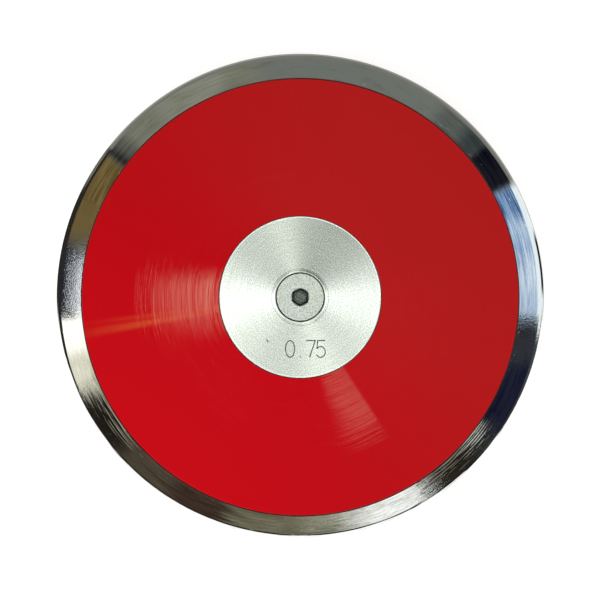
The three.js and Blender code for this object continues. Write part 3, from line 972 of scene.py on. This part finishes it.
def make_room():
    """A room by direction, for what the metal mirrors. The camera itself sees a plain pale backdrop."""
    world = bpy.data.worlds.new("room")
    bpy.context.scene.world = world
    recipe = Recipe(world)
    x, y, z = recipe.separate(recipe.node("ShaderNodeTexCoord").outputs["Generated"])
    azimuth = recipe.math("ARCTAN2", y, x)
    height = recipe.math("ARCSINE", z)
    heading = recipe.vector_math("NORMALIZE", recipe.combine(x, y, 0.0))
    color = above_walls(recipe, azimuth, height)
    color = with_walls(recipe, color, azimuth, height, heading)
    color = with_overhead(recipe, color, azimuth, height)
    color = with_table(recipe, color, azimuth, height)
    seen = recipe.node("ShaderNodeLightPath").outputs["Is Camera Ray"]
    color = recipe.mix(seen, color, opaque(BACKDROP))
    background = recipe.node("ShaderNodeBackground")
    recipe.feed(background.inputs["Color"], color)
    output = recipe.node("ShaderNodeOutputWorld")
    recipe.feed(output.inputs["Surface"], background.outputs[0])


# The side plates mirror two panels overhead. The glow on a panel is laid out by the place on a plate, as a distance
# from the axis, that mirrors it: from the hub's edge outward.
LIGHT_HEIGHT = 1.0
GLOW_START = 26.8 * MM
GLOW_NEAR = 30.3 * MM
GLOW_FAR = 48.3 * MM
GLOW_END = 50 * MM
GLOW_SOFTNESS = 1.0 * MM
GLOW_RAGGEDNESS = 3 * MM
GLOW_BAND_PITCH = 1.6 * MM
GLOW_BAND_DRIFT = 0.02
GLOW_CONTRAST = (0.8, 1.2)

# The sides of the two patches, in degrees of azimuth: where the light begins, at GLOW_NEAR and at GLOW_FAR, and
# where it is full. The ragged sides wander by so many degrees. The strengths are at GLOW_NEAR and at GLOW_FAR too.
KEY_UPPER_SIDE = ((158.5, 169.5), (175.5, 178.5))
KEY_LOWER_SIDE = ((212, 196), (178, 183))
KEY_WANDER = 8
KEY_STRENGTHS = (4.1, 1.2)
KEY_TINT = (1.0, 1.0, 0.74)
STRIP_SOFT_SIDE = ((282, 285), (288, 299))
STRIP_CRISP_SIDE = ((303, 303), (300.5, 301.7))
STRIP_WANDER = 5
STRIP_STRENGTHS = (1.45, 1.45)
STRIP_TINT = (1.0, 1.0, 0.8)

# A line of light between two azimuths, in degrees, that goes from one strength to the other between two radii
Beam = namedtuple("Beam", "start end soft near far strengths")
BROAD_BEAM = Beam(188.5, 190.6, 0.9, 42.2 * MM, 75.2 * MM, (1.8, 0.25))
BROAD_BEAM_RISE = (32 * MM, 46.6 * MM, 0.2, 1.0)
NARROW_BEAM = Beam(186.4, 187.6, 0.6, 51 * MM, 68 * MM, (0.75, 0.15))
BEAM_LINE_PITCH = 0.8 * MM
BEAM_TINT = (1.15, 1.0, 0.2)


def mirrored(radius):
    """How far from the axis the panels are where a side plate, this far from the axis, mirrors them."""
    view = math.atan(radius / CAMERA_DISTANCE)
    climb = LIGHT_HEIGHT - plate_top(radius)
    return radius + climb * math.tan(2 * math.atan(PLATE_TAPER) + view)


def glow_bands(recipe, azimuth, radius, pitch):
    """Noise in soft bands that run round the axis and change slowly with the azimuth, which is in degrees."""
    run = recipe.math("MULTIPLY", radius, 1 / pitch)
    turn = recipe.math("MULTIPLY", azimuth, GLOW_BAND_DRIFT)
    return recipe.noise(recipe.combine(run, turn, 0.0), 1.0, detail=1)


def shifted(recipe, value, bands, amount):
    """A value moved to and fro by the bands, so that the patches end raggedly."""
    return recipe.math("ADD", value, recipe.math("MULTIPLY", recipe.math("SUBTRACT", bands, 0.5), amount))


def glow_reach(recipe, radius, bands):
    """1 from the hub's edge to a ragged end, and 0 beyond it."""
    ragged = shifted(recipe, radius, bands, GLOW_RAGGEDNESS)
    end = recipe.spread(ragged, GLOW_END + GLOW_SOFTNESS, GLOW_END - GLOW_SOFTNESS)
    start = recipe.spread(radius, GLOW_START - GLOW_SOFTNESS, GLOW_START)
    return recipe.math("MULTIPLY", start, end)


def along_glow(recipe, radius, near, far):
    """A value that changes steadily along the glow, from near to far."""
    return recipe.ramp(radius, GLOW_NEAR, GLOW_FAR, near, far)


def glow_side(recipe, azimuth, radius, side):
    """0 outside one side of a patch, and 1 inside it."""
    begins, full = side
    return recipe.spread(azimuth, along_glow(recipe, radius, *begins), along_glow(recipe, radius, *full))


def glow_patch(recipe, radius, bands, sides, strengths, tint):
    """The light between two sides, a little stronger or weaker from band to band."""
    strength = recipe.math("MULTIPLY", glow_reach(recipe, radius, bands), along_glow(recipe, radius, *strengths))
    strength = recipe.math("MULTIPLY", strength, recipe.math("MULTIPLY", *sides))
    contrast = recipe.spread(bands, 0.3, 0.7, *GLOW_CONTRAST)
    return recipe.scaled(tint, recipe.math("MULTIPLY", strength, contrast))


def beam_light(recipe, azimuth, radius, beam):
    across = recipe.band(azimuth, beam.start, beam.end, beam.soft)
    return recipe.math("MULTIPLY", across, recipe.ramp(radius, beam.near, beam.far, *beam.strengths))


def key_glow(recipe, azimuth, radius):
    """A soft patch, brightest nearest the axis, and two narrow warm lines that run on outward."""
    bands = glow_bands(recipe, azimuth, radius, GLOW_BAND_PITCH)
    ragged = shifted(recipe, azimuth, bands, KEY_WANDER)
    upper = glow_side(recipe, ragged, radius, KEY_UPPER_SIDE)
    lower = glow_side(recipe, ragged, radius, KEY_LOWER_SIDE)
    patch = glow_patch(recipe, radius, bands, (upper, lower), KEY_STRENGTHS, KEY_TINT)
    broad = beam_light(recipe, azimuth, radius, BROAD_BEAM)
    broad = recipe.math("MULTIPLY", broad, recipe.ramp(radius, *BROAD_BEAM_RISE))
    narrow = beam_light(recipe, azimuth, radius, NARROW_BEAM)
    lines = recipe.spread(glow_bands(recipe, azimuth, radius, BEAM_LINE_PITCH), 0.35, 0.65, 0.55, 1.35)
    beams = recipe.math("MULTIPLY", recipe.math("ADD", broad, narrow), lines)
    return recipe.vector_math("ADD", patch, recipe.scaled(BEAM_TINT, beams))


def strip_glow(recipe, azimuth, radius):
    """A fainter patch with one crisp side."""
    bands = glow_bands(recipe, azimuth, radius, GLOW_BAND_PITCH)
    ragged = shifted(recipe, azimuth, bands, STRIP_WANDER)
    soft = glow_side(recipe, ragged, radius, STRIP_SOFT_SIDE)
    crisp = glow_side(recipe, azimuth, radius, STRIP_CRISP_SIDE)
    return glow_patch(recipe, radius, bands, (soft, crisp), STRIP_STRENGTHS, STRIP_TINT)


def add_panel(name, azimuth, half_angle, far_radius, glow):
    """A level light overhead, whose brightness varies over it.

    azimuth and half_angle are in degrees. far_radius is how far out the side plates mirror it.
    glow(recipe, azimuth, radius) returns the radiance of what a place on a plate mirrors.
    """
    near = mirrored(GLOW_START) * math.cos(half_angle * DEGREE)
    far = mirrored(far_radius)
    data = bpy.data.lights.new(name, "AREA")
    data.shape = "RECTANGLE"
    data.size = far - near
    data.size_y = 2 * mirrored(GLOW_NEAR) * math.sin(half_angle * DEGREE)
    data.energy = math.pi * data.size * data.size_y
    recipe = Recipe(data)
    x, y, z = recipe.separate(recipe.node("ShaderNodeNewGeometry").outputs["Position"])
    flat = recipe.combine(x, y, 0.0)
    angle = azimuth * DEGREE
    along = recipe.vector_math("DOT_PRODUCT", flat, (math.cos(angle), math.sin(angle), 0))
    across = recipe.vector_math("DOT_PRODUCT", flat, (-math.sin(angle), math.cos(angle), 0))
    turn = recipe.math("MULTIPLY", recipe.math("ARCTAN2", across, along), 1 / DEGREE)
    radius = recipe.vector_math("LENGTH", flat)
    radius = recipe.ramp(radius, mirrored(0), mirrored(PLATE_RADIUS), 0, PLATE_RADIUS)
    emission = recipe.node("ShaderNodeEmission")
    recipe.feed(emission.inputs["Color"], glow(recipe, recipe.math("ADD", turn, azimuth), radius))
    output = recipe.node("ShaderNodeOutputLight")
    recipe.feed(output.inputs["Surface"], emission.outputs[0])
    light = bpy.data.objects.new(name, data)
    bpy.context.scene.collection.objects.link(light)
    middle = (near + far) / 2
    light.location = (middle * math.cos(angle), middle * math.sin(angle), MIDDLE_Z + LIGHT_HEIGHT)
    light.rotation_euler = (0, 0, angle)
    light.visible_camera = False


FILL_AZIMUTH = 228
FILL_DISTANCE = 0.26
FILL_HEIGHT = 0.25
FILL_SIDE = 0.3
FILL_RADIANCE = 2.2


def add_fill():
    """Light that only matt surfaces take: it makes the side plates brighter towards it."""
    data = bpy.data.lights.new("fill", "AREA")
    data.size = FILL_SIDE
    data.energy = FILL_RADIANCE * math.pi * FILL_SIDE**2
    fill = bpy.data.objects.new("fill", data)
    bpy.context.scene.collection.objects.link(fill)
    angle = FILL_AZIMUTH * DEGREE
    fill.location = (
        FILL_DISTANCE * math.cos(angle),
        FILL_DISTANCE * math.sin(angle),
        MIDDLE_Z + FILL_HEIGHT,
    )
    fill.visible_camera = False
    fill.visible_glossy = False
    aim(fill, (0, 0, MIDDLE_Z))


make_floor()
make_room()
add_fill()
add_panel("key_panel", azimuth=183, half_angle=30, far_radius=74 * MM, glow=key_glow)
add_panel("strip_panel", azimuth=292, half_angle=13, far_radius=56 * MM, glow=strip_glow)

bpy.context.scene.view_settings.view_transform = "Standard"
